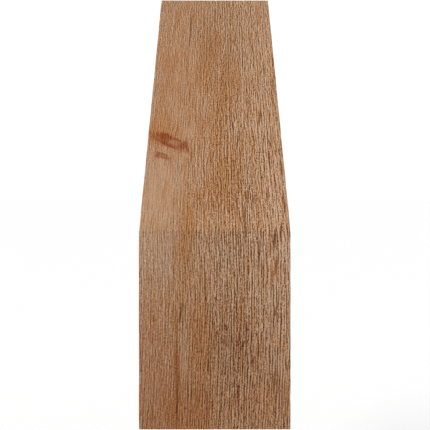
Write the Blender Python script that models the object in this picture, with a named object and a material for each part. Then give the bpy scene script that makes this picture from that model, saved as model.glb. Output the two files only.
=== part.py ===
"""Timber knee brace: one straight sawn timber, cut plumb at its foot and level at its head.

Metres, +Z up. The brace is drawn as it is built in. The foot's cut lies against a post, in the plane
Y = 0, and the brace rises away from it along +Y until the head's cut lies under a beam. The origin is
the middle of the foot's cut.
"""

import math

import bmesh
import bpy

# Driving sizes
WIDTH = 0.152  # across the timber, side to side
THICKNESS = 0.140  # between the two long faces, square to the timber's length
RUN = 0.508  # from the post out to the far end of the head
RISE = 0.508  # from the foot's tip up to the beam
ARRIS = 0.0010  # how far back each sharp edge is worn

# Sizes that follow from them
DIAGONAL = math.hypot(RUN, RISE)
POST_FACE = THICKNESS * DIAGONAL / RUN  # height of the foot's plumb cut
BEAM_FACE = THICKNESS * DIAGONAL / RISE  # depth of the head's level cut
TIP = -POST_FACE / 2  # height of the foot's lower tip

TIMBER_COLOUR = (0.40, 0.22, 0.12, 1.0)
TIMBER_ROUGHNESS = 0.75
ARRIS_STEPS = 2


def clear_objects():
    """Removes every object, so that the part starts from nothing."""
    for other in list(bpy.data.objects):
        bpy.data.objects.remove(other, do_unlink=True)


def timber_material():
    """Unfinished reddish softwood."""
    material = bpy.data.materials.new("timber")
    material.use_nodes = True
    shader = material.node_tree.nodes["Principled BSDF"]
    shader.inputs["Base Color"].default_value = TIMBER_COLOUR
    shader.inputs["Roughness"].default_value = TIMBER_ROUGHNESS
    return material


def side_profile():
    """The four corners of the timber's side as (y, z), from the foot's tip round to the head's far end."""
    return [
        (0.0, TIP),
        (RUN, TIP + RISE),
        (RUN - BEAM_FACE, TIP + RISE),
        (0.0, TIP + POST_FACE),
    ]


def brace_timber():
    """The whole brace: its side profile carried across the width, with every sharp edge worn."""
    shape = bmesh.new()
    left = [shape.verts.new((-WIDTH / 2, y, z)) for y, z in side_profile()]
    side = shape.faces.new(left)
    carried = bmesh.ops.extrude_face_region(shape, geom=[side])["geom"]
    right = [item for item in carried if isinstance(item, bmesh.types.BMVert)]
    bmesh.ops.translate(shape, verts=right, vec=(WIDTH, 0.0, 0.0))
    bmesh.ops.bevel(
        shape,
        geom=shape.edges[:],
        offset=ARRIS,
        offset_type="OFFSET",
        segments=ARRIS_STEPS,
        profile=0.5,
        affect="EDGES",
    )
    bmesh.ops.recalc_face_normals(shape, faces=shape.faces[:])
    mesh = bpy.data.meshes.new("brace_timber")
    shape.to_mesh(mesh)
    shape.free()
    mesh.materials.append(timber_material())
    timber = bpy.data.objects.new("brace_timber", mesh)
    bpy.context.scene.collection.objects.link(timber)
    return timber


clear_objects()
brace_timber()
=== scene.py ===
"""Timber knee brace: the looks of one rough-sawn timber, and a studio stage to show it on.

Metres, +Z up. The origin is the middle of the foot's plumb cut, which bears on a post. The timber rises
from it along +Y and +Z, and X runs across its width. Colours are linear.
"""

import math

import bmesh
import bpy
from bpy.props import FloatProperty, FloatVectorProperty, IntProperty, PointerProperty
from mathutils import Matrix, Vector


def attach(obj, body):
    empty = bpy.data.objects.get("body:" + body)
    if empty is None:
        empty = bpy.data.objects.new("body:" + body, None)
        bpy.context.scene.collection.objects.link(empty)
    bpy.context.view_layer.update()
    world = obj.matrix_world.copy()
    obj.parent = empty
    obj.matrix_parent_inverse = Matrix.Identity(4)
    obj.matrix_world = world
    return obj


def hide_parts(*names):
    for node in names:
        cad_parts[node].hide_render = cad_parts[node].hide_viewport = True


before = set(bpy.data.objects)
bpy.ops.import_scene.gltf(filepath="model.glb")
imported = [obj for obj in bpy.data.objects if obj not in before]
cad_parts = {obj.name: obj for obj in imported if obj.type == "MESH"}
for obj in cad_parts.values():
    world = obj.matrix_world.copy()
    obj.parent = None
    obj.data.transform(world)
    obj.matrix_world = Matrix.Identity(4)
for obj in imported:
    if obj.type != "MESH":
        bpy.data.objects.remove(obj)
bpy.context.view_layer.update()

bl_info = {
    "name": "Timber Knee Brace",
    "version": (1, 0, 0),
    "blender": (4, 5, 0),
    "location": "3D View > Sidebar > Brace",
    "description": "Builds a rough-sawn timber knee brace and a studio stage to show it on",
    "category": "Add Mesh",
}

CAD_NODE = "brace_timber"

# Where the key light stands, in metres
KEY_PLACE = (-1.2, -1.2, 1.6)

# Depths and heights in the timber at which a finish fades out or sets in, in metres. Each pair runs from
# nothing of it to all of it.
FACE_SKIN = (0.0022, 0.0010)  # what counts as on a cut or on a side
UPPER_WOOD = (0.020, 0.045)  # above the timber's middle, for the marks of the upper face
FOOT_WOOD = (0.100, 0.080)  # up the timber, for the marks of the foot
PAINTED_FOOT_SHADE = (0.10, -0.09)  # height on the foot's cut, over which the painted shade darkens it down to its tip
DARK_EDGE_LINE = (0.0016, 0.0003)  # from an edge, for the darker thin line along every edge
EDGE_FRAY = 0.004  # how far the rim of the darker edge line wanders

# Where the fibres part round the spike knot, as an oval like the marks below, and how far they part
KNOT_SURROUND = (-0.0525, 0.2045, 0.040, 0.030, 0)
KNOT_BEND = 0.002
BENT_FIBRES = (1.0, 0.2)  # none and all of it, as shares of the way from its middle to its rim

# The noises of the wood's figure, in cells a metre across, along and through the timber
BEND_CELLS = (90, 28, 50)
FRAY_CELLS = (480, 70, 0)
DRIFT_CELLS = (9, 4.5, 7)
DUST_CELLS = (1300, 450, 700)
BROAD_CELLS = (30, 3.2, 9)
PATCH_CELLS = (60, 12, 15)
BLUSH_CELLS = (230, 30, 34)
COOL_CELLS = (45, 8, 12)
COOL_SHIFT = 9  # cells that the grey bands' noise is shifted by, through the timber

# The streaks, in cells a metre across the rings, along the timber and through it
BROKEN_CELLS = (450, 24, 34)
TORN_CELLS = (820, 55, 56)
FINE_CELLS = (1500, 100, 110)

# How each kind of line wanders: by how many spacings, in so many cells a metre along and through the timber
RING_WANDER = (1.8, 4, 5)
COMB_WANDER = (1.5, 5, 4)
RIB_WANDER = (2.0, 28, 28)
CHECK_WANDER = (2.6, 16, 12)
WANDER_CELLS = 0.3  # and in so many cells from one line to the next
LINE_RIM = (0.15, 0.85)  # where a line sets in and is whole, from the middle of the wood between two lines
CHECK_RIM = (0.74, 0.96)

# How rugged the wood is. The left of the foot is the smoothest, and the right is wholly rugged.
SMOOTHEST = (0.28, 0.52)  # at the foot and near the head
NEAR_HEAD = (0.30, 0.45)  # up the timber
TO_THE_RIGHT = (-0.045, 0.030)  # across it
RUGGED_SIDES = 0.7

# The rings on the sides: where late wood sets in and ends, as a share of a ring, and how the bends move it
LATE_WOOD_START = (0.35, 0.92)
LATE_WOOD_END = (1.0, 0.93)
SIDE_BEND = 100.0

# How much each kind of line counts in the wood's tone. A pair is for smooth and coarse wood, or as said.
RING_TONE = (0.20, 0.44)
COMB_TONE = (0.60, 0.95)  # on the faces and on the cuts
FAINTEST = 0.2  # how much the rings count in broken fibres, and the combing in whole ones
TORN_TONE = 0.28
RIB_TONE = 0.26
FINE_TONE = 1.4
DUST_TONE = (2.3, 0.8)  # on the faces and on the sides
SMOOTH_AND_COARSE = (0.29, 0.87)  # all of these together
CALM_IN_PALE = 0.6  # how much pale wood takes away from them
CALM_HIGH_ON_CUT = 0.14  # how much the top of the foot's cut does
HIGH_ON_FOOT = (0.005, 0.045)  # where that is, up the timber
AWAY_FROM_LEFT = (-0.060, 0.0)  # and across it
FURROW_TONE = -0.25  # the deepest furrows, on top of the torn fibres
CHECK_TONE = -0.38
BROAD_TONE = 0.10  # broad light and dark patches

# From where to where these noises count, each from nothing to all of it
WHOLE_FIBRES = (0.25, 0.70)
FURROWED = (0.50, 0.30)  # torn fibres, in the relief
DEEPLY_FURROWED = (0.36, 0.28)  # and in the tone
CHECKED = (0.66, 0.40)
GOLDEN_PATCHES = (0.54, 0.74)
ORANGE_BLUSH = (0.44, 0.68)
GREY_BANDS = (0.50, 0.72)
OUT_OF_FURROWS = (0.35, 0.65)  # the tones that the grey bands show in

# The tone of plain wood: at the left and the right of the long faces and cuts, and on the sides
FACE_TONE = (0.585, 0.70)
RIGHT_PART = (0.015, 0.068)  # across the timber, from the end of the left's tone to the start of the right's
SIDE_TONE = 0.615

# How strongly the stains lie on the wood
WARM_MARKS = (0.7, 1.6)  # with little and with much of the golden patches in them
WARM_PATCHES = 0.3
WARM_BLUSH = 0.7
SOUND_IN_KNOT = 0.65
KNOT_WOOD = (1.75, 0.45)  # in torn and in raised fibres
# the darker thin line along every edge
DARK_EDGE_STRENGTH = 0.25

# Where the ramp's colours stand in the tone
TONE_STOPS = (("deep", 0.0), ("shade", 0.22), ("body", 0.50), ("pale", 0.75), ("tip", 1.0))

# The finish of the wood
ROUGHNESS = (0.72, 0.92)  # between the combed lines and on them
SPECULAR = 0.30
BUMP_STRENGTH = 0.8
BUMP_DEPTH = 0.0012
COMB_BUMP = 0.25
FINE_BUMP = 0.5
TORN_BUMP = 0.4

# Strips that the faces are first divided into, so that each later cut has few edges to pick
STRIPS_ACROSS = 8
STRIPS_ALONG = 5

# Which edges are divided: longer than this in metres, and this nearly parallel to a way of the timber
SHORT_RUN = 0.004
LONG_RUN = 0.010
PARALLEL = 0.999
IN_PLANE = 0.0001  # how far across the width an edge through the timber may stray, in metres

# The stage
FLOOR_SIZE = 60.0
FLOOR_ROUGHNESS = 0.9
WHITE_TO_CAMERA = 1.05
SENSOR_WIDTH = 36.0
NEAREST_SEEN = 0.01

# Marks on the wood: (kind, across, along, half width, half length, tilt in degrees, strength). Places and
# sizes are metres on the timber, from the middle of the foot's cut.
STAINS = (
    ("warm", -0.0285, 0.075, 0.009, 0.055, 0, 0.9),  # orange streak over the foot's upper edge
    ("warm", -0.0140, -0.003, 0.012, 0.030, 0, 1.0),  # brown band in the middle of the foot
    ("warm", 0.0260, 0.012, 0.006, 0.012, 0, 0.7),  # small orange fleck right of it
    ("warm", -0.0180, -0.058, 0.013, 0.024, 0, 1.0),  # brown band down to the foot's tip
    ("warm", -0.0440, -0.056, 0.014, 0.018, 0, 0.35),  # its fainter left part
    ("glow", -0.0640, 0.224, 0.024, 0.022, -25, 1.0),  # glow above the knot
    ("warm", -0.0090, 0.350, 0.014, 0.060, -6, 0.9),  # golden band up the upper face, in four bends
    ("warm", 0.0110, 0.286, 0.016, 0.055, -8, 0.8),
    ("warm", 0.0030, 0.222, 0.013, 0.045, 6, 0.7),
    ("warm", 0.0110, 0.145, 0.018, 0.055, -4, 0.8),
    ("warm", -0.0400, 0.330, 0.030, 0.120, 0, 0.3),  # faint glow left of the band
    ("warm", -0.0375, -0.040, 0.0030, 0.045, 0, 1.0),  # orange wood along the long check
    ("brown", -0.0020, 0.430, 0.026, 0.060, 0, 0.55),  # browner wood near the head
    ("brown", 0.0120, 0.330, 0.012, 0.035, 0, 0.4),  # and in the golden band
    ("brown", 0.0160, -0.006, 0.020, 0.023, 0, 0.85),  # brown patch right of the foot's middle
    ("brown", 0.0170, 0.048, 0.030, 0.018, 0, 0.3),  # and a fainter one above it
    ("red", -0.0630, -0.022, 0.020, 0.045, 0, 0.65),  # pinker wood at the foot's left
    ("red", 0.0450, -0.052, 0.010, 0.014, 0, 0.5),  # and at its right
    ("light", -0.0450, 0.320, 0.034, 0.160, 0, 0.3),  # slightly paler wood above the knot
    ("light", -0.0600, 0.125, 0.027, 0.072, 0, 1.0),  # pale wood below the knot
    ("light", -0.0305, 0.2230, 0.011, 0.020, -24, 0.9),  # pale wood over the knot's end
    ("light", -0.0560, 0.1935, 0.011, 0.006, -25, 0.6),  # pale wood between the two knots
    ("light", 0.0440, 0.240, 0.022, 0.050, 0, 0.4),  # pale wood right of the golden band
    ("light", 0.0270, 0.192, 0.016, 0.018, 0, 0.4),
    ("light", 0.0260, 0.329, 0.012, 0.020, 0, 0.35),
    ("light", 0.0210, 0.084, 0.040, 0.0085, 0, 0.5),  # and over the foot's upper edge
    ("light", -0.0352, 0.418, 0.0022, 0.028, 0, 0.9),  # pale fibre beside the check near the head
    ("light", -0.0310, -0.021, 0.0045, 0.020, 0, 0.6),  # pale fibre beside the long check
    ("light", -0.0650, -0.038, 0.012, 0.012, 0, 0.45),  # slightly paler wood at the foot's left
    ("light", 0.0700, -0.030, 0.010, 0.035, 0, 0.45),  # and at its right
    ("light", 0.0575, 0.041, 0.008, 0.011, 0, 0.55),  # and above that
    ("streak", -0.0378, -0.035, 0.0013, 0.042, 0, 0.8),  # long check on the left of the foot
    ("streak", -0.0344, 0.012, 0.0014, 0.007, -13, 1.0),  # its leaning upper end
    ("streak", 0.0302, 0.085, 0.0013, 0.024, 0, 1.0),  # check over the foot's upper edge
    ("streak", 0.0605, 0.067, 0.0016, 0.012, -10, 1.0),  # checks right of it, leaning in
    ("streak", 0.0665, 0.074, 0.0015, 0.011, -8, 0.9),
    ("streak", 0.0445, 0.055, 0.0012, 0.011, -6, 0.9),
    ("streak", 0.0615, 0.047, 0.0014, 0.008, -12, 1.0),
    ("streak", 0.0570, 0.035, 0.0011, 0.010, -4, 0.8),
    ("streak", 0.0616, 0.016, 0.0012, 0.007, -18, 0.9),  # checks down the foot's right
    ("streak", 0.0380, -0.021, 0.0013, 0.005, 0, 0.9),
    ("streak", 0.0236, -0.043, 0.0013, 0.008, 0, 1.0),
    ("streak", 0.0600, -0.034, 0.0014, 0.010, -6, 0.9),
    ("streak", 0.0342, 0.119, 0.0014, 0.011, 0, 0.9),  # checks up the right of the upper face
    ("streak", 0.0407, 0.114, 0.0014, 0.007, 0, 0.9),
    ("streak", 0.0559, 0.124, 0.0013, 0.009, 0, 0.9),
    ("streak", 0.0600, 0.176, 0.0014, 0.018, 0, 0.8),
    ("streak", 0.0622, 0.203, 0.0015, 0.008, 8, 1.0),
    ("streak", 0.0559, 0.213, 0.0014, 0.010, -6, 0.7),
    ("streak", 0.0525, 0.248, 0.0017, 0.016, -8, 1.0),
    ("streak", 0.0380, 0.280, 0.0012, 0.009, 0, 0.8),
    ("streak", 0.0627, 0.343, 0.0013, 0.009, 0, 0.9),
    ("streak", 0.0722, 0.108, 0.0013, 0.014, 0, 0.9),  # torn fibres along its right edge
    ("streak", 0.0726, 0.164, 0.0013, 0.016, 0, 0.8),
    ("streak", 0.0722, 0.306, 0.0013, 0.018, 0, 0.7),
    ("streak", -0.0324, 0.434, 0.0012, 0.046, -1, 0.9),  # check near the head
    ("streak", -0.0345, 0.350, 0.0010, 0.050, 0, 0.4),  # where it fades out
    ("streak", 0.0110, 0.003, 0.0015, 0.0030, 30, 1.0),  # pit in the foot
    ("streak", 0.0026, -0.001, 0.0011, 0.0022, 0, 1.0),  # torn strokes below the pit
    ("streak", 0.0101, -0.006, 0.0011, 0.0036, 0, 1.0),
    ("streak", 0.0226, -0.008, 0.0010, 0.0022, 0, 0.9),
    ("streak", 0.0246, -0.003, 0.0011, 0.0040, 0, 1.0),
    ("streak", 0.0278, -0.0095, 0.0011, 0.0045, 0, 1.0),
    ("streak", 0.0316, 0.002, 0.0012, 0.0055, 0, 1.0),
    ("streak", 0.0306, -0.0075, 0.0010, 0.0022, 0, 0.9),
    ("streak", 0.0376, -0.006, 0.0010, 0.0080, 0, 0.6),
    ("streak", 0.0436, -0.014, 0.0010, 0.0045, 0, 0.8),
    ("streak", -0.0062, -0.025, 0.0012, 0.0055, 0, 0.9),
    ("streak", -0.0058, -0.0155, 0.0010, 0.0022, 0, 0.8),
    ("knot", -0.0535, 0.2065, 0.0275, 0.0082, -32, 0.55),  # the spike knot's body, across the grain
    ("knot", -0.0572, 0.2150, 0.0105, 0.0058, -28, 0.95),  # its dark core
    ("knot", -0.0600, 0.2085, 0.0085, 0.0045, -30, 0.75),  # and below the core
    ("knot", -0.0540, 0.2012, 0.0130, 0.0025, -33, 0.95),  # its lower rim
    ("knot", -0.0452, 0.2108, 0.0095, 0.0014, -31, 0.75),  # its thin upper rim
    ("knot", -0.0360, 0.1992, 0.0046, 0.0078, -16, 0.80),  # its blunt end
    ("knot", -0.0307, 0.1950, 0.0020, 0.0085, 14, 0.75),  # bark line round the end
    ("knot", -0.0680, 0.2110, 0.0036, 0.0070, 0, 0.35),  # its thin end at the timber's side
    ("knot", -0.0583, 0.1858, 0.0078, 0.0011, -27, 0.80),  # sliver of a second knot: its upper rim
    ("knot", -0.0620, 0.1832, 0.0038, 0.0045, -20, 0.75),  # and its left end
    ("knot", -0.0553, 0.1797, 0.0080, 0.0028, -22, 0.60),  # and its lower rim
    ("eye", -0.0452, 0.2040, 0.0072, 0.0036, -31, 0.85),  # sound wood inside the spike knot
)

# How each kind of mark ends: (how ragged its rim is, where it has gone, where it is whole). The last two are
# shares of the way from its middle to its rim.
MARK_RIMS = {
    "knot": (1.2, 1.45, 0.55),
    "eye": (0.8, 1.25, 0.35),
    "light": (1.0, 1.6, 0.2),
    "warm": (1.2, 1.7, 0.0),
    "glow": (1.2, 1.6, 0.2),
    "brown": (1.2, 1.7, 0.0),
    "red": (1.0, 1.7, 0.0),
    "streak": (0.7, 1.3, 0.5),
}

# The photograph's frame, in pixels
PHOTO_SIZE = 430
PHOTO_MIDDLE = PHOTO_SIZE / 2


def length(name, description, default):
    """A size in metres."""
    return FloatProperty(name=name, description=description, default=default, unit="LENGTH", precision=4)


def number(name, description, default):
    """A plain number."""
    return FloatProperty(name=name, description=description, default=default)


def colour(name, description, default):
    """A linear colour."""
    return FloatVectorProperty(
        name=name, description=description, default=default, subtype="COLOR", size=3, min=0.0, max=1.0
    )


def count(name, description, default):
    """A whole number."""
    return IntProperty(name=name, description=description, default=default)


def stain(name, description, default):
    """What a stain, or the painted shade of the foot's tip, leaves of the red, green and blue of the wood
    under it.
    """
    return FloatVectorProperty(name=name, description=description, default=default, size=3, min=0.0, max=2.0)


class BraceSizes(bpy.types.PropertyGroup):
    """Sizes of the timber, as built."""

    width: length("Width", "Across the timber, side to side", 0.152)
    thickness: length("Thickness", "Between the two long faces", 0.140)
    run: length("Run", "From the post out to the far end of the head", 0.508)
    rise: length("Rise", "From the foot's tip up to the beam", 0.508)
    arris: length("Arris", "How far back each sharp edge is worn", 0.0010)
    cells_across: count("Cells across", "Mesh cells across the width", 152)
    cells_through: count("Cells through", "Mesh cells through the thickness", 78)
    cells_along: count("Cells along", "Mesh cells along the timber", 150)


class BraceGrain(bpy.types.PropertyGroup):
    """Figure of the wood, and the relief that it raises."""

    ring_spacing: length("Ring spacing", "From one growth ring to the next", 0.0036)
    comb_spacing: length("Comb spacing", "From one line of the finer ribbing to the next", 0.00245)
    rib_spacing: length("Rib spacing", "From one short torn ridge to the next", 0.0029)
    check_spacing: length("Check spacing", "From one thin dark check to the next", 0.0048)
    fibre_spacing: length("Fibre spacing", "From one of the finest fibres to the next", 0.0028)
    side_spacing: length("Side ring spacing", "From one growth ring to the next, on the two sides", 0.0018)
    pith_side: length("Pith to the side", "How far to the left of the middle the tree's heart lay", 1.20)
    pith_depth: length("Pith depth", "How far above the middle the tree's heart lay", 0.02)
    taper: number("Taper", "How much the rings draw in per metre of the tree's height", 0.020)
    waver: length("Waver", "How far the rings wander from side to side", 0.004)
    wiggle: length("Wiggle", "How far single fibres wander", 0.0016)
    ring_relief: length("Ring relief", "How far the hard rings stand above the soft wood", 0.00020)
    fibre_relief: length("Fibre relief", "Depth of the furrows between torn fibres", 0.00035)


class BraceColours(bpy.types.PropertyGroup):
    """Colours of the wood, and the painted shade of the foot's tip."""

    deep: colour("Deep", "Bottoms of the furrows", (0.114, 0.033, 0.002))
    shade: colour("Shade", "Sides of the furrows", (0.246, 0.092, 0.014))
    body: colour("Body", "Most of the wood", (0.385, 0.197, 0.100))
    pale: colour("Pale", "Raised fibres", (0.498, 0.293, 0.168))
    tip: colour("Tip", "Bleached tips of raised fibres", (0.640, 0.430, 0.282))
    cut: stain("Cut stain", "The greyer wood of the two cuts", (0.91, 0.957, 1.04))
    # Painted shade: the foot's cut darkened down to its tip, standing in for light that fades down the post
    # face.
    foot: stain("Foot stain", "The darker tip of the foot", (0.78, 0.66, 0.54))
    wear: stain("Wear stain", "Handled edges", (0.74, 0.66, 0.56))
    # A darker thin line along every edge.
    warm: stain("Warm stain", "Golden and orange bands", (0.90, 0.74, 0.52))
    brown: stain("Brown stain", "Brown patches", (0.82, 0.77, 0.69))
    red: stain("Red stain", "Pinker wood", (1.02, 0.90, 0.86))
    light: stain("Light stain", "Paler wood", (1.12, 1.23, 1.37))
    cool: stain("Cool stain", "Greyer bands", (0.95, 0.98, 1.04))
    streak: stain("Streak stain", "Checks and pits", (0.56, 0.37, 0.22))
    glow: stain("Glow stain", "Orange wood round a knot", (1.00, 0.83, 0.60))
    knot: stain("Knot stain", "Wood of a knot", (0.62, 0.28, 0.08))


class BraceStage(bpy.types.PropertyGroup):
    """Camera, lights and floor."""

    camera_distance: length("Camera distance", "From the post face to the camera", 0.730)
    camera_height: length("Camera height", "Above the middle of the post face", 0.1463)
    focal_length: number("Focal length", "In millimetres on a 36 mm sensor", 61.15)
    horizon_row: number("Horizon row", "Row of the photograph that is level with the camera", 184.7)
    middle_column: number("Middle column", "Column of the photograph at the brace's middle", 214.75)
    floor_depth: length("Floor depth", "How far the floor lies below the post face's middle", 0.45)
    floor_colour: colour("Floor", "Pale floor", (0.90, 0.90, 0.90))
    floor_glow: number("Floor glow", "How much of its own light the floor gives, as a light table does", 0.20)
    key_strength: number("Key light", "Strength of the broad light from above and in front", 1.45)
    key_spread: FloatProperty(
        name="Key spread", description="How broad the light looks", default=math.radians(25), subtype="ANGLE"
    )
    sky_light: number("Sky light", "How bright the white surroundings are as a light", 0.60)


class Recipe:
    """Adds nodes to one node tree and wires them up. It serves geometry and shaders alike."""

    def __init__(self, tree):
        self.tree = tree

    def put(self, socket, value):
        """Wires a socket into an input, or writes a plain value on it."""
        if isinstance(value, bpy.types.NodeSocket):
            self.tree.links.new(value, socket)
        else:
            socket.default_value = value

    def math(self, operation, first, second=0.0, clamp=False):
        """One sum on plain numbers."""
        node = self.tree.nodes.new("ShaderNodeMath")
        node.operation = operation
        node.use_clamp = clamp
        self.put(node.inputs[0], first)
        self.put(node.inputs[1], second)
        return node.outputs[0]

    def add(self, first, second):
        return self.math("ADD", first, second)

    def less(self, first, second):
        return self.math("SUBTRACT", first, second)

    def times(self, first, second):
        return self.math("MULTIPLY", first, second)

    def least(self, first, second):
        return self.math("MINIMUM", first, second)

    def most(self, first, second):
        return self.math("MAXIMUM", first, second)

    def step(self, value, low, high):
        """A smooth step from 0 at low to 1 at high. With low above high it falls instead."""
        node = self.tree.nodes.new("ShaderNodeMapRange")
        node.interpolation_type = "SMOOTHSTEP"
        node.clamp = True
        self.put(node.inputs["Value"], value)
        if low <= high:
            node.inputs["From Min"].default_value = low
            node.inputs["From Max"].default_value = high
            return node.outputs["Result"]
        node.inputs["From Min"].default_value = high
        node.inputs["From Max"].default_value = low
        return self.less(1.0, node.outputs["Result"])

    def between(self, first, second, amount):
        """The first number at amount 0, the second at amount 1 and what lies between them otherwise."""
        return self.add(first, self.times(self.less(second, first), amount))

    def joined(self, x, y, z):
        """A vector from three numbers."""
        node = self.tree.nodes.new("ShaderNodeCombineXYZ")
        for socket, value in zip(node.inputs, (x, y, z)):
            self.put(socket, value)
        return node.outputs[0]

    def parted(self, vector):
        """The three numbers of a vector."""
        node = self.tree.nodes.new("ShaderNodeSeparateXYZ")
        self.put(node.inputs[0], vector)
        return node.outputs[0], node.outputs[1], node.outputs[2]

    def turned(self, vector, angle):
        """A vector turned about X."""
        node = self.tree.nodes.new("ShaderNodeVectorRotate")
        node.rotation_type = "X_AXIS"
        self.put(node.inputs["Vector"], vector)
        node.inputs["Angle"].default_value = angle
        return node.outputs[0]

    def noise(self, x, y, z, detail=2.0, roughness=0.5):
        """Noise from about 0 to 1, one cell per unit of each number."""
        node = self.tree.nodes.new("ShaderNodeTexNoise")
        node.inputs["Scale"].default_value = 1.0
        node.inputs["Detail"].default_value = detail
        node.inputs["Roughness"].default_value = roughness
        self.put(node.inputs["Vector"], self.joined(x, y, z))
        return node.outputs[0]

    def mixed(self, amount, first, second, blend="MIX"):
        """Two colours mixed."""
        node = self.tree.nodes.new("ShaderNodeMix")
        node.data_type = "RGBA"
        node.blend_type = blend
        self.put(node.inputs[0], amount)
        self.put(node.inputs[6], first)
        self.put(node.inputs[7], second)
        return node.outputs[2]


def solid(rgb):
    """A colour with full alpha."""
    return (rgb[0], rgb[1], rgb[2], 1.0)


def slope_of(sizes):
    """The timber's angle above level."""
    return math.atan2(sizes.rise, sizes.run)


def beam_height(sizes):
    """Height of the head's level cut above the middle of the foot's cut."""
    foot_height = sizes.thickness * math.hypot(sizes.run, sizes.rise) / sizes.run
    return sizes.rise - foot_height / 2


class Wood:
    """The wood's figure at a point: the same sums serve the relief of the mesh and the colour."""

    def __init__(self, recipe, place, sizes, grain):
        self.recipe = recipe
        self.sizes = sizes
        self.grain = grain
        self.place = place
        turned = recipe.turned(place, -slope_of(sizes))
        self.across, self.along, self.through = recipe.parted(turned)
        self.find_edges()
        self.find_bends()
        self.find_marks()
        self.find_rings()
        self.find_fibres()

    def find_edges(self):
        """How far the point is from the nearest edge, and whether it lies on a cut or on a side."""
        r = self.recipe
        _, y, z = r.parted(self.place)
        half_width = self.sizes.width / 2
        half_thickness = self.sizes.thickness / 2
        from_side = r.less(half_width, r.math("ABSOLUTE", self.across))
        from_long = r.less(half_thickness, r.math("ABSOLUTE", self.through))
        from_cut = r.least(y, r.less(beam_height(self.sizes), z))
        nearer = r.least(from_side, from_long)
        farther = r.most(from_side, from_long)
        self.from_edge = r.most(nearer, r.least(farther, from_cut))
        self.on_cut = r.step(from_cut, *FACE_SKIN)
        self.on_side = r.times(r.step(from_side, *FACE_SKIN), r.less(1.0, self.on_cut))

    def cells(self, across, along, through, detail=2.0, roughness=0.5):
        """Noise with so many cells a metre each of the timber's three ways."""
        r = self.recipe
        return r.noise(
            r.times(self.across, across),
            r.times(self.along, along),
            r.times(self.through, through),
            detail,
            roughness,
        )

    def find_bends(self):
        """How the fibres bend from side to side."""
        r = self.recipe
        self.bend = r.times(r.less(self.cells(*BEND_CELLS, 1.0), 0.5), self.grain.wiggle)

    def spot(self, across, along, half_width, half_length, tilt):
        """How far the point is from an oval's middle, as a share of the way to its rim."""
        r = self.recipe
        right = r.less(r.add(self.across, self.bend), across)
        up = r.less(self.along, along)
        if tilt:
            turn = math.radians(tilt)
            right, up = (
                r.add(r.times(right, math.cos(turn)), r.times(up, math.sin(turn))),
                r.less(r.times(up, math.cos(turn)), r.times(right, math.sin(turn))),
            )
        wide = r.times(right, 1 / half_width)
        high = r.times(up, 1 / half_length)
        return r.math("SQRT", r.add(r.times(wide, wide), r.times(high, high)))

    def mark(self, kind):
        """The strongest mark of one kind at the point, with its rim frayed along the grain."""
        r = self.recipe
        ragged, outer, inner = MARK_RIMS[kind]
        fray = r.times(self.frayed, ragged)
        strongest = 0.0
        for name, across, along, half_width, half_length, tilt, strength in STAINS:
            if name != kind:
                continue
            distance = r.add(self.spot(across, along, half_width, half_length, tilt), fray)
            strongest = r.most(strongest, r.times(r.step(distance, outer, inner), strength))
        return strongest

    def find_marks(self):
        """Knots, checks and stains. They lie in the foot and in the wood under the upper long face alone."""
        r = self.recipe
        self.frayed = r.less(self.cells(*FRAY_CELLS, 2.0, 0.6), 0.5)
        near_top = r.step(self.through, *UPPER_WOOD)
        on_foot = r.step(self.along, *FOOT_WOOD)
        self.in_front = r.most(near_top, on_foot)
        self.knot = r.times(self.mark("knot"), near_top)
        self.light = r.times(self.mark("light"), self.in_front)
        self.by_knot = r.times(r.step(self.spot(*KNOT_SURROUND), *BENT_FIBRES), near_top)

    def find_rings(self):
        """The growth rings: shells about the tree's heart, which lay far to the left of the timber.

        They stand on edge at the long faces and at the cuts. They lie nearly flat at the two sides, where the
        tree's taper draws them into long arches.
        """
        r = self.recipe
        grain = self.grain
        aside = r.add(self.across, grain.pith_side)
        above = r.less(self.through, grain.pith_depth)
        radius = r.math("SQRT", r.add(r.times(aside, aside), r.times(above, above)))
        drift = self.cells(*DRIFT_CELLS)
        shell = r.add(radius, r.times(r.less(drift, 0.5), grain.waver))
        smoothest = r.between(*SMOOTHEST, r.step(self.along, *NEAR_HEAD))
        on_faces = r.between(smoothest, 1.0, r.step(self.across, *TO_THE_RIGHT))
        self.rugged = r.between(on_faces, RUGGED_SIDES, self.on_side)
        round_knot = r.times(self.by_knot, KNOT_BEND)
        self.radius = r.add(r.add(shell, r.times(self.bend, self.rugged)), round_knot)
        turns = r.times(r.add(shell, r.times(self.along, grain.taper)), 1 / grain.side_spacing)
        phase = r.math("FRACT", r.add(turns, r.times(self.bend, SIDE_BEND)))
        late_wood = r.times(r.step(phase, *LATE_WOOD_START), r.step(phase, *LATE_WOOD_END))
        rings = self.lines(grain.ring_spacing, *RING_WANDER)
        self.rings = r.between(rings, r.less(1.0, late_wood), self.on_side)
        self.comb = r.between(self.lines(grain.comb_spacing, *COMB_WANDER), 0.5, self.on_side)
        self.ribs = r.between(self.lines(grain.rib_spacing, *RIB_WANDER), 0.5, self.on_side)
        checks = self.lines(grain.check_spacing, *CHECK_WANDER, CHECK_RIM)
        self.checks = r.times(checks, r.less(1.0, self.on_side))

    def lines(self, spacing, wander, along, through, rim=LINE_RIM):
        """Lines that follow the rings at about one spacing: 1 on a line and 0 in the wood between.

        They wander by the given number of spacings, in so many cells a metre along and through the timber.
        The nearer to 1 the rim's two numbers are, the thinner the lines.
        """
        r = self.recipe
        uneven = r.noise(
            r.times(self.radius, WANDER_CELLS / spacing),
            r.times(self.along, along),
            r.times(self.through, through),
            1.0,
        )
        turns = r.add(r.times(self.radius, 1 / spacing), r.times(uneven, wander))
        away = r.math("ABSOLUTE", r.less(r.times(r.math("FRACT", turns), 2.0), 1.0))
        return r.step(away, *rim)

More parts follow.
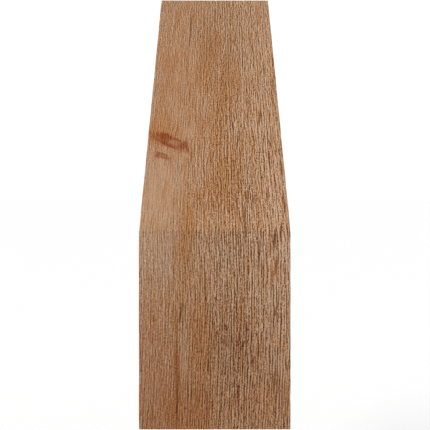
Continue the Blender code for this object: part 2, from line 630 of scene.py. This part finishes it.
    def streaks(self, fineness, along, through, aside=0.0, detail=1.0):
        """Streaks that are fine across the rings and long the other two ways.

        On the timber's sides, where the rings lie flat, they are fine through the timber instead. They can be
        shifted aside by some distance.
        """
        r = self.recipe
        on_faces = r.noise(
            r.times(r.add(self.radius, aside), fineness),
            r.times(self.along, along),
            r.times(self.through, through),
            detail,
        )
        on_sides = r.noise(
            r.times(r.add(self.through, aside), fineness),
            r.times(self.along, along),
            r.times(self.across, through),
            detail,
        )
        return r.add(on_faces, r.times(self.on_side, r.less(on_sides, on_faces)))

    def find_fibres(self):
        """Streaks of torn and raised fibre, and broader patches.

        The finest streaks are taken less the same streaks a little aside, so that they don't swell slowly.
        The grey bands are read some cells deeper in the timber, or they would follow the golden patches.
        """
        r = self.recipe
        self.broken = self.streaks(*BROKEN_CELLS)
        self.torn = self.streaks(*TORN_CELLS)
        shifted = self.streaks(*FINE_CELLS, self.grain.fibre_spacing / 2, 0.0)
        self.fine = r.less(self.streaks(*FINE_CELLS, 0.0, 0.0), shifted)
        self.dust = self.cells(*DUST_CELLS, 0.0)
        self.broad = self.cells(*BROAD_CELLS)
        self.patch = self.cells(*PATCH_CELLS, 3.0)
        self.blush = self.cells(*BLUSH_CELLS, 1.0)
        across, along, through = COOL_CELLS
        deeper = r.add(r.times(self.through, through), COOL_SHIFT)
        self.cool = r.noise(r.times(self.across, across), r.times(self.along, along), deeper, 3.0)


def select_edges(timber, wanted):
    """Selects the edges whose run from end to end is wanted. The timber is in edit mode."""
    bpy.ops.mesh.select_mode(type="EDGE")
    bpy.ops.mesh.select_all(action="DESELECT")
    shape = bmesh.from_edit_mesh(timber.data)
    for edge in shape.edges:
        start, end = edge.verts
        if wanted(end.co - start.co):
            edge.select_set(True)
    bmesh.update_edit_mesh(timber.data)


def sawn_bar(sizes):
    """A square-edged bar through the middle of the post face, along the slope and too long at both ends."""
    middle = beam_height(sizes) / 2
    too_long = 1.25 * math.hypot(sizes.run, sizes.rise)
    bpy.ops.object.select_all(action="DESELECT")
    bpy.ops.mesh.primitive_cube_add(
        size=1.0,
        location=(0.0, middle * sizes.run / sizes.rise, middle),
        rotation=(slope_of(sizes), 0.0, 0.0),
        scale=(sizes.width, too_long, sizes.thickness),
    )
    bar = bpy.context.object
    bar.name = "rough_sawn_timber"
    bar.data.name = bar.name
    bpy.ops.object.transform_apply(location=True, rotation=True, scale=True)
    return bar


def cut_ends(timber, sizes):
    """Saws the foot plumb and the head level."""
    cuts = (
        ((0.0, 0.0, 0.0), (0.0, -1.0, 0.0)),
        ((0.0, 0.0, beam_height(sizes)), (0.0, 0.0, 1.0)),
    )
    bpy.ops.object.mode_set(mode="EDIT")
    for point, outward in cuts:
        bpy.ops.mesh.select_all(action="SELECT")
        bpy.ops.mesh.bisect(plane_co=point, plane_no=outward, use_fill=True, clear_outer=True)
    bpy.ops.object.mode_set(mode="OBJECT")


def wear_arrises(timber, sizes):
    """Takes the sharpness off every edge."""
    bpy.ops.object.mode_set(mode="EDIT")
    bpy.ops.mesh.select_all(action="SELECT")
    bpy.ops.mesh.bevel(offset=sizes.arris, offset_type="OFFSET", segments=2, affect="EDGES")
    bpy.ops.object.mode_set(mode="OBJECT")


def divide(timber, sizes):
    """Divides the faces finely across the grain and less finely along it, so that relief can be raised."""
    slope = slope_of(sizes)
    grain_way = Vector((0.0, math.cos(slope), math.sin(slope)))
    width_way = Vector((1.0, 0.0, 0.0))

    def across(run):
        return run.length > SHORT_RUN and abs(run.normalized().dot(width_way)) > PARALLEL

    def along(run):
        return run.length > LONG_RUN and abs(run.normalized().dot(grain_way)) > PARALLEL

    def through(run):
        return run.length > LONG_RUN and abs(run.x) < IN_PLANE and not along(run)

    bpy.ops.object.mode_set(mode="EDIT")
    for wanted, cells in (
        (across, STRIPS_ACROSS),
        (across, sizes.cells_across // STRIPS_ACROSS),
        (through, sizes.cells_through),
        (along, STRIPS_ALONG),
        (along, sizes.cells_along // STRIPS_ALONG),
    ):
        select_edges(timber, wanted)
        bpy.ops.mesh.subdivide(number_cuts=cells - 1)
    bpy.ops.mesh.select_all(action="SELECT")
    bpy.ops.mesh.normals_make_consistent(inside=False)
    bpy.ops.object.mode_set(mode="OBJECT")


def relief_tree(sizes, grain):
    """Geometry nodes that sink the soft wood and the furrows below the sawn surface."""
    tree = bpy.data.node_groups.new("timber relief", "GeometryNodeTree")
    tree.interface.new_socket("Geometry", in_out="INPUT", socket_type="NodeSocketGeometry")
    tree.interface.new_socket("Geometry", in_out="OUTPUT", socket_type="NodeSocketGeometry")
    entry = tree.nodes.new("NodeGroupInput")
    exit_node = tree.nodes.new("NodeGroupOutput")
    place = tree.nodes.new("GeometryNodeInputPosition").outputs[0]
    normal = tree.nodes.new("GeometryNodeInputNormal").outputs[0]
    r = Recipe(tree)
    wood = Wood(r, place, sizes, grain)
    soft = r.times(r.less(1.0, wood.rings), grain.ring_relief)
    furrow = r.times(r.times(r.step(wood.torn, *FURROWED), wood.rugged), grain.fibre_relief)
    sunk = r.add(soft, furrow)
    scale = tree.nodes.new("ShaderNodeVectorMath")
    scale.operation = "SCALE"
    tree.links.new(normal, scale.inputs[0])
    r.put(scale.inputs["Scale"], r.times(sunk, -1.0))
    mover = tree.nodes.new("GeometryNodeSetPosition")
    tree.links.new(entry.outputs[0], mover.inputs["Geometry"])
    tree.links.new(scale.outputs[0], mover.inputs["Offset"])
    tree.links.new(mover.outputs[0], exit_node.inputs[0])
    return tree


def raise_grain(timber, sizes, grain):
    """Gives the timber its relief and makes it part of the mesh."""
    modifier = timber.modifiers.new("relief", "NODES")
    modifier.node_group = relief_tree(sizes, grain)
    bpy.ops.object.modifier_apply(modifier=modifier.name)
    bpy.ops.object.shade_smooth()


def stained(r, tint, amount, stain_tint):
    """A colour seen through some amount of a stain, or of the painted shade of the foot's tip."""
    return r.mixed(amount, tint, r.mixed(1.0, tint, solid(stain_tint), "MULTIPLY"))


def wood_tone(r, wood):
    """How light the wood is at a point: 0 at the bottom of a furrow, 1 at the tip of a raised fibre."""
    whole = r.step(wood.broken, *WHOLE_FIBRES)
    rings = r.times(r.less(wood.rings, 0.5), r.add(FAINTEST, whole))
    rings = r.times(rings, r.between(*RING_TONE, wood.rugged))
    comb = r.times(r.less(wood.comb, 0.5), r.less(1.0 + FAINTEST, whole))
    comb = r.times(comb, r.between(*COMB_TONE, wood.on_cut))
    torn = r.times(r.times(r.less(wood.torn, 0.5), wood.rugged), TORN_TONE)
    ribs = r.times(r.times(r.less(wood.ribs, 0.5), wood.rugged), RIB_TONE)
    fine = r.times(wood.fine, FINE_TONE)
    dust = r.times(r.less(wood.dust, 0.5), r.between(*DUST_TONE, wood.on_side))
    streak = r.add(r.add(r.add(rings, comb), r.add(torn, ribs)), r.add(fine, dust))
    streak = r.times(streak, r.between(*SMOOTH_AND_COARSE, wood.rugged))
    streak = r.times(streak, r.less(1.0, r.times(wood.light, CALM_IN_PALE)))
    high_on_cut = r.times(wood.on_cut, r.step(wood.along, *HIGH_ON_FOOT))
    high_on_cut = r.times(high_on_cut, r.step(wood.across, *AWAY_FROM_LEFT))
    streak = r.times(streak, r.less(1.0, r.times(high_on_cut, CALM_HIGH_ON_CUT)))
    rough = r.times(wood.rugged, wood.rugged)
    furrow = r.times(r.times(r.step(wood.torn, *DEEPLY_FURROWED), rough), FURROW_TONE)
    checks = r.times(r.times(wood.checks, rough), r.times(r.step(wood.broken, *CHECKED), CHECK_TONE))
    on_faces = r.between(*FACE_TONE, r.step(wood.across, *RIGHT_PART))
    base = r.between(on_faces, SIDE_TONE, wood.on_side)
    tone = r.add(r.add(r.add(base, streak), furrow), checks)
    return r.add(tone, r.times(r.less(wood.broad, 0.5), BROAD_TONE))


def wood_colour(r, wood, colours):
    """The colour at a point: its tone's, seen through the stains that lie on it and through the painted shade
    of the foot's tip.
    """
    ramp = r.tree.nodes.new("ShaderNodeValToRGB")
    elements = ramp.color_ramp.elements
    while len(elements) < len(TONE_STOPS):
        elements.new(0.5)
    for element, (name, position) in zip(elements, TONE_STOPS):
        element.position = position
        element.color = solid(getattr(colours, name))
    tone = wood_tone(r, wood)
    r.put(ramp.inputs[0], tone)
    wood_tint = ramp.outputs[0]
    warm = r.times(wood.mark("warm"), wood.in_front)
    warm = r.times(warm, r.between(*WARM_MARKS, wood.patch))
    warm = r.add(warm, r.times(r.step(wood.patch, *GOLDEN_PATCHES), WARM_PATCHES))
    blush = r.times(r.step(wood.blush, *ORANGE_BLUSH), WARM_BLUSH)
    warm = r.math("ADD", warm, blush, clamp=True)
    wood_tint = stained(r, wood_tint, warm, colours.warm)
    grey = r.times(r.step(wood.cool, *GREY_BANDS), r.less(1.0, warm))
    grey = r.times(grey, r.step(tone, *OUT_OF_FURROWS))
    wood_tint = stained(r, wood_tint, grey, colours.cool)
    wood_tint = stained(r, wood_tint, wood.on_cut, colours.cut)
    # Painted shade: the foot's cut darkens down to its tip, standing in for light that fades down the post
    # face.
    _, _, height = r.parted(wood.place)
    foot = r.times(r.step(height, *PAINTED_FOOT_SHADE), wood.on_cut)
    wood_tint = stained(r, wood_tint, foot, colours.foot)
    for kind in ("glow", "brown", "red", "streak"):
        amount = r.times(wood.mark(kind), wood.in_front)
        wood_tint = stained(r, wood_tint, amount, getattr(colours, kind))
    wood_tint = stained(r, wood_tint, wood.light, colours.light)
    sound = r.times(wood.mark("eye"), SOUND_IN_KNOT)
    knot = r.times(wood.knot, r.less(1.0, sound))
    knot = r.times(knot, r.between(*KNOT_WOOD, wood.torn))
    wood_tint = stained(r, wood_tint, knot, colours.knot)
    # A darker thin line along every edge, with a frayed rim.
    ragged_edge = r.add(wood.from_edge, r.times(wood.frayed, EDGE_FRAY))
    worn = r.times(r.step(ragged_edge, *DARK_EDGE_LINE), DARK_EDGE_STRENGTH)
    return stained(r, wood_tint, worn, colours.wear)


def timber_material(sizes, grain, colours):
    """Unfinished reddish softwood, rough from the saw."""
    material = bpy.data.materials.new("rough sawn softwood")
    material.use_nodes = True
    tree = material.node_tree
    shader = tree.nodes["Principled BSDF"]
    place = tree.nodes.new("ShaderNodeTexCoord").outputs["Object"]
    r = Recipe(tree)
    wood = Wood(r, place, sizes, grain)
    r.put(shader.inputs["Base Color"], wood_colour(r, wood, colours))
    r.put(shader.inputs["Roughness"], r.between(*ROUGHNESS, wood.comb))
    shader.inputs["Specular IOR Level"].default_value = SPECULAR
    height = r.add(r.times(wood.comb, COMB_BUMP), r.times(wood.fine, FINE_BUMP))
    height = r.add(height, r.times(r.times(wood.torn, wood.rugged), TORN_BUMP))
    bump = tree.nodes.new("ShaderNodeBump")
    bump.inputs["Strength"].default_value = BUMP_STRENGTH
    bump.inputs["Distance"].default_value = BUMP_DEPTH
    r.put(bump.inputs["Height"], height)
    tree.links.new(bump.outputs[0], shader.inputs["Normal"])
    return material


def floor_material(stage):
    """Plain pale paper."""
    material = bpy.data.materials.new("pale paper")
    material.use_nodes = True
    shader = material.node_tree.nodes["Principled BSDF"]
    shader.inputs["Base Color"].default_value = solid(stage.floor_colour)
    shader.inputs["Roughness"].default_value = FLOOR_ROUGHNESS
    shader.inputs["Emission Color"].default_value = solid(stage.floor_colour)
    shader.inputs["Emission Strength"].default_value = stage.floor_glow
    return material


def add_floor(stage):
    """A wide pale floor below the brace, which hangs from its post face."""
    bpy.ops.mesh.primitive_plane_add(size=FLOOR_SIZE, location=(0.0, 0.0, -stage.floor_depth))
    floor = bpy.context.object
    floor.name = "studio_floor"
    floor.data.materials.append(floor_material(stage))
    return floor


def add_sky(stage):
    """White surroundings: pure white to the camera, and a softer light on the wood."""
    world = bpy.data.worlds.new("white surroundings")
    bpy.context.scene.world = world
    world.use_nodes = True
    tree = world.node_tree
    background = tree.nodes["Background"]
    background.inputs["Color"].default_value = (1.0, 1.0, 1.0, 1.0)
    seen = tree.nodes.new("ShaderNodeLightPath").outputs["Is Camera Ray"]
    r = Recipe(tree)
    strength = r.between(stage.sky_light, WHITE_TO_CAMERA, seen)
    r.put(background.inputs["Strength"], strength)


def add_key_light(stage):
    """One broad light from above, in front and the left."""
    bpy.ops.object.light_add(type="SUN", location=KEY_PLACE)
    key = bpy.context.object
    key.name = "key_light"
    key.data.energy = stage.key_strength
    key.data.angle = stage.key_spread
    key.rotation_euler = (-Vector(KEY_PLACE)).to_track_quat("-Z", "Y").to_euler()


def add_camera(stage):
    """A level camera square to the post face, with the lens shifted as in the photograph."""
    bpy.ops.object.camera_add(
        location=(0.0, -stage.camera_distance, stage.camera_height), rotation=(math.radians(90), 0.0, 0.0)
    )
    camera = bpy.context.object
    camera.name = "photo_camera"
    camera.data.sensor_width = SENSOR_WIDTH
    camera.data.lens = stage.focal_length
    camera.data.shift_x = (PHOTO_MIDDLE - stage.middle_column) / PHOTO_SIZE
    camera.data.shift_y = (stage.horizon_row - PHOTO_MIDDLE) / PHOTO_SIZE
    camera.data.clip_start = NEAREST_SEEN
    bpy.context.scene.camera = camera


class BRACE_OT_timber(bpy.types.Operator):
    """Saw the timber, cut its ends, wear its edges, raise its grain and colour it"""

    bl_idname = "brace.timber"
    bl_label = "Timber"

    def execute(self, context):
        sizes = context.scene.brace_sizes
        grain = context.scene.brace_grain
        colours = context.scene.brace_colours
        timber = sawn_bar(sizes)
        cut_ends(timber, sizes)
        wear_arrises(timber, sizes)
        divide(timber, sizes)
        raise_grain(timber, sizes, grain)
        timber.data.materials.append(timber_material(sizes, grain, colours))
        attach(timber, "root")
        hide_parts(CAD_NODE)
        return {"FINISHED"}


class BRACE_OT_stage(bpy.types.Operator):
    """Add the floor, the white surroundings, the light and the camera"""

    bl_idname = "brace.stage"
    bl_label = "Stage"

    def execute(self, context):
        stage = context.scene.brace_stage
        add_floor(stage)
        add_sky(stage)
        add_key_light(stage)
        add_camera(stage)
        context.scene.view_settings.view_transform = "Standard"
        return {"FINISHED"}


class BRACE_PT_panel(bpy.types.Panel):
    """The brace's sizes, grain, colours and stage"""

    bl_label = "Timber Knee Brace"
    bl_idname = "BRACE_PT_panel"
    bl_space_type = "VIEW_3D"
    bl_region_type = "UI"
    bl_category = "Brace"

    def draw(self, context):
        for group in ("brace_sizes", "brace_grain", "brace_colours", "brace_stage"):
            settings = getattr(context.scene, group)
            box = self.layout.box()
            for name in settings.__annotations__:
                box.prop(settings, name)
        self.layout.operator(BRACE_OT_timber.bl_idname)
        self.layout.operator(BRACE_OT_stage.bl_idname)


CLASSES = (
    BraceSizes,
    BraceGrain,
    BraceColours,
    BraceStage,
    BRACE_OT_timber,
    BRACE_OT_stage,
    BRACE_PT_panel,
)


def register():
    for cls in CLASSES:
        bpy.utils.register_class(cls)
    bpy.types.Scene.brace_sizes = PointerProperty(type=BraceSizes)
    bpy.types.Scene.brace_grain = PointerProperty(type=BraceGrain)
    bpy.types.Scene.brace_colours = PointerProperty(type=BraceColours)
    bpy.types.Scene.brace_stage = PointerProperty(type=BraceStage)


def unregister():
    del bpy.types.Scene.brace_stage
    del bpy.types.Scene.brace_colours
    del bpy.types.Scene.brace_grain
    del bpy.types.Scene.brace_sizes
    for cls in reversed(CLASSES):
        bpy.utils.unregister_class(cls)


def main():
    register()
    bpy.ops.brace.timber()
    bpy.ops.brace.stage()


if __name__ == "__main__":
    main()
